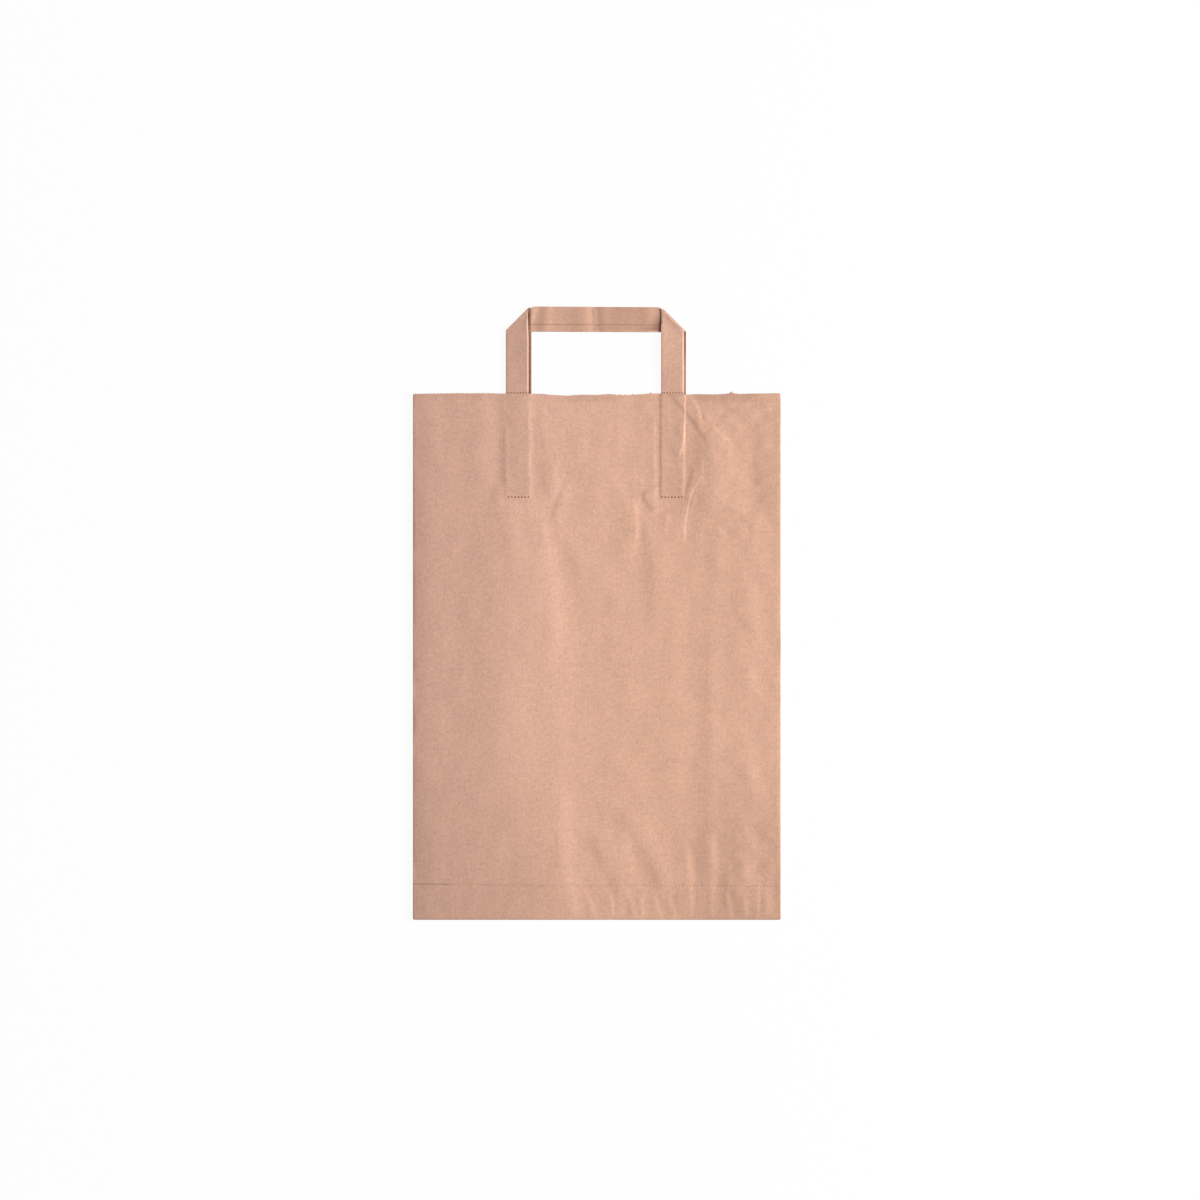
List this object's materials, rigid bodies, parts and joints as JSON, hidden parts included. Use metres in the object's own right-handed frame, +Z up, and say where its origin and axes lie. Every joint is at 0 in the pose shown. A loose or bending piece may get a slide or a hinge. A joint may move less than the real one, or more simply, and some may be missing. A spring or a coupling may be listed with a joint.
{
  "type": "paper carrier bag",
  "caption": "Flat brown kraft carrier bag with side gussets, a folded bottom lip and flat paper-strip handles glued inside the mouth.",
  "frame": {"origin": "centre of the outline on the plane that the bag's back ply lies on", "axes": "+Y from the bottom fold to the handles, +Z up through the plies to the front, +X across the bag"},
  "size_m": [0.32, 0.5341, 0.0037],
  "materials": {
    "bag_paper": "matt brown kraft",
    "front_handle_paper": "matt brown kraft",
    "back_handle_paper": "matt brown kraft"
  },
  "bodies": {
    "root": {"bag_body": "bag_paper", "front_handle": "front_handle_paper", "back_handle": "back_handle_paper"}
  },
  "joints": []
}
